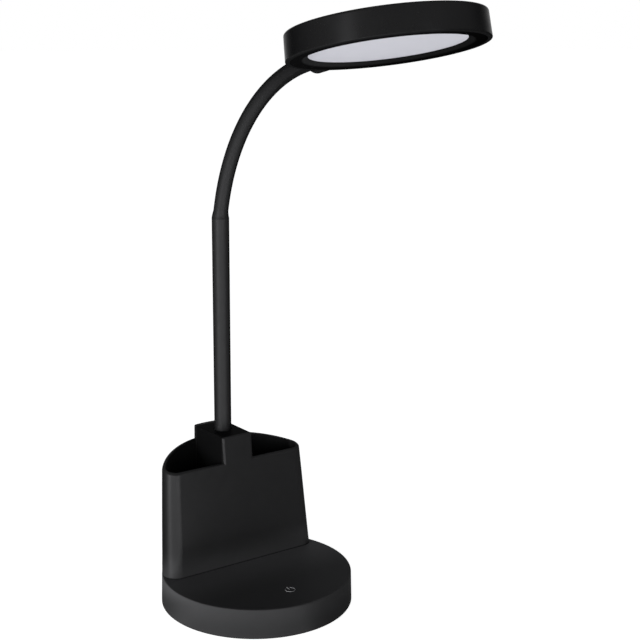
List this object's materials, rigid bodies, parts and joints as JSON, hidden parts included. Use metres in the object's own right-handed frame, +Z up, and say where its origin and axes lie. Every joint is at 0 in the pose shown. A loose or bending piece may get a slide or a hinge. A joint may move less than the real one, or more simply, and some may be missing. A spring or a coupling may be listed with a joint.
{
  "type": "desk lamp with pen organizer base",
  "caption": "Round LED desk lamp: a disc head on a flexible gooseneck and rigid tube, over a weighted round base that carries a two-pocket pen organizer.",
  "frame": {"origin": "centre of the round base, on the flat underside of its rubber pad", "axes": "+Z up; -Y to the front, where the head hangs out; +Y to the back, where the organizer stands; +X to the lamp's left-hand side seen from behind, which is the viewer's right from the front"},
  "size_m": [0.13, 0.253, 0.394],
  "materials": {
    "black_shell": "injection-moulded black plastic, satin gloss",
    "black_organizer": "injection-moulded black plastic, satin",
    "black_steel": "powder-coated steel tube, satin black",
    "black_sleeve": "matt silicone sleeve",
    "cover_plastic": "textured black plastic",
    "foot_rubber": "soft rubber pad",
    "cast_weight": "cast disc, bare",
    "zinc_steel": "zinc-plated screws, nuts and washers",
    "link_steel": "plain steel gooseneck links",
    "brass": "spring brass sheet",
    "board": "glass-epoxy circuit board",
    "led_aluminium": "aluminium circuit board with white solder mask",
    "led": "surface-mount LEDs",
    "opal": "opal diffuser sheet, satin",
    "white_plastic": "white reflector plastic",
    "lead": "two-core lead",
    "black_bush": "black nylon"
  },
  "bodies": {
    "base": {"base_shell": "black_shell", "base_cover": "cover_plastic", "counterweight": "cast_weight", "rubber_pad": "foot_rubber", "base_screws": "zinc_steel", "control_board": "board", "board_screws": "zinc_steel", "touch_electrode": "brass", "inlet_socket": "zinc_steel", "inlet_board": "board", "power_lead": "lead", "organizer_shell": "black_organizer", "organizer_screws": "zinc_steel", "lower_tube": "black_steel", "tube_bush": "black_bush", "tube_washer": "zinc_steel", "tube_nut": "zinc_steel", "tube_lead": "lead", "neck_ferrule": "brass", "neck_sleeve": "black_sleeve", "neck_lead": "lead"},
    "link_01": {"neck_link_01": "link_steel"},
    "link_02": {"neck_link_02": "link_steel"},
    "link_03": {"neck_link_03": "link_steel"},
    "link_04": {"neck_link_04": "link_steel"},
    "link_05": {"neck_link_05": "link_steel"},
    "link_06": {"neck_link_06": "link_steel"},
    "link_07": {"neck_link_07": "link_steel"},
    "link_08": {"neck_link_08": "link_steel"},
    "link_09": {"neck_link_09": "link_steel"},
    "link_10": {"neck_link_10": "link_steel"},
    "link_11": {"neck_link_11": "link_steel"},
    "head": {"neck_end": "link_steel", "neck_nut": "zinc_steel", "head_lead": "lead", "head_shell": "black_shell", "head_bezel": "black_shell", "diffuser": "opal", "reflector": "white_plastic", "led_board": "led_aluminium", "leds": "led", "led_screws": "zinc_steel"}
  },
  "joints": [
    {"name": "neck_side_01", "type": "hinge", "parent": "base", "child": "link_01", "pos_m": [0, 0.04175, 0.2588], "axis": [0, 0.982, 0.1891], "range_deg": [-10, 10]},
    {"name": "neck_bend_02", "type": "hinge", "parent": "link_01", "child": "link_02", "pos_m": [0, 0.03839, 0.27228], "axis": [1, 0, 0], "range_deg": [-14, 10], "deforming": ["neck_sleeve", "neck_lead"]},
    {"name": "neck_side_03", "type": "hinge", "parent": "link_02", "child": "link_03", "pos_m": [0, 0.03361, 0.28533], "axis": [0, 0.9191, 0.3941], "range_deg": [-10, 10]},
    {"name": "neck_bend_04", "type": "hinge", "parent": "link_03", "child": "link_04", "pos_m": [0, 0.02746, 0.29778], "axis": [1, 0, 0], "range_deg": [-14, 10]},
    {"name": "neck_side_05", "type": "hinge", "parent": "link_04", "child": "link_05", "pos_m": [0, 0.02001, 0.30951], "axis": [0, 0.8139, 0.581], "range_deg": [-10, 10]},
    {"name": "neck_bend_06", "type": "hinge", "parent": "link_05", "child": "link_06", "pos_m": [0, 0.01134, 0.32037], "axis": [1, 0, 0], "range_deg": [-14, 10]},
    {"name": "neck_side_07", "type": "hinge", "parent": "link_06", "child": "link_07", "pos_m": [0, 0.00156, 0.33023], "axis": [0, 0.6714, 0.7411], "range_deg": [-10, 10]},
    {"name": "neck_bend_08", "type": "hinge", "parent": "link_07", "child": "link_08", "pos_m": [0, -0.00922, 0.33899], "axis": [1, 0, 0], "range_deg": [-14, 10]},
    {"name": "neck_side_09", "type": "hinge", "parent": "link_08", "child": "link_09", "pos_m": [0, -0.02088, 0.34655], "axis": [0, 0.4979, 0.8672], "range_deg": [-10, 10]},
    {"name": "neck_bend_10", "type": "hinge", "parent": "link_09", "child": "link_10", "pos_m": [0, -0.03329, 0.35281], "axis": [1, 0, 0], "range_deg": [-14, 10]},
    {"name": "neck_side_11", "type": "hinge", "parent": "link_10", "child": "link_11", "pos_m": [0, -0.04629, 0.3577], "axis": [0, 0.3016, 0.9534], "range_deg": [-10, 10]},
    {"name": "neck_bend_12", "type": "hinge", "parent": "link_11", "child": "head", "pos_m": [0, -0.05974, 0.36118], "axis": [1, 0, 0], "range_deg": [-14, 10]}
  ],
  "couplings": [
    {"joint": "neck_side_03", "follows": "neck_side_01", "ratio": 1},
    {"joint": "neck_bend_04", "follows": "neck_bend_02", "ratio": 1},
    {"joint": "neck_side_05", "follows": "neck_side_01", "ratio": 1},
    {"joint": "neck_bend_06", "follows": "neck_bend_02", "ratio": 1},
    {"joint": "neck_side_09", "follows": "neck_side_07", "ratio": 1},
    {"joint": "neck_bend_10", "follows": "neck_bend_08", "ratio": 1},
    {"joint": "neck_side_11", "follows": "neck_side_07", "ratio": 1},
    {"joint": "neck_bend_12", "follows": "neck_bend_08", "ratio": 1}
  ]
}
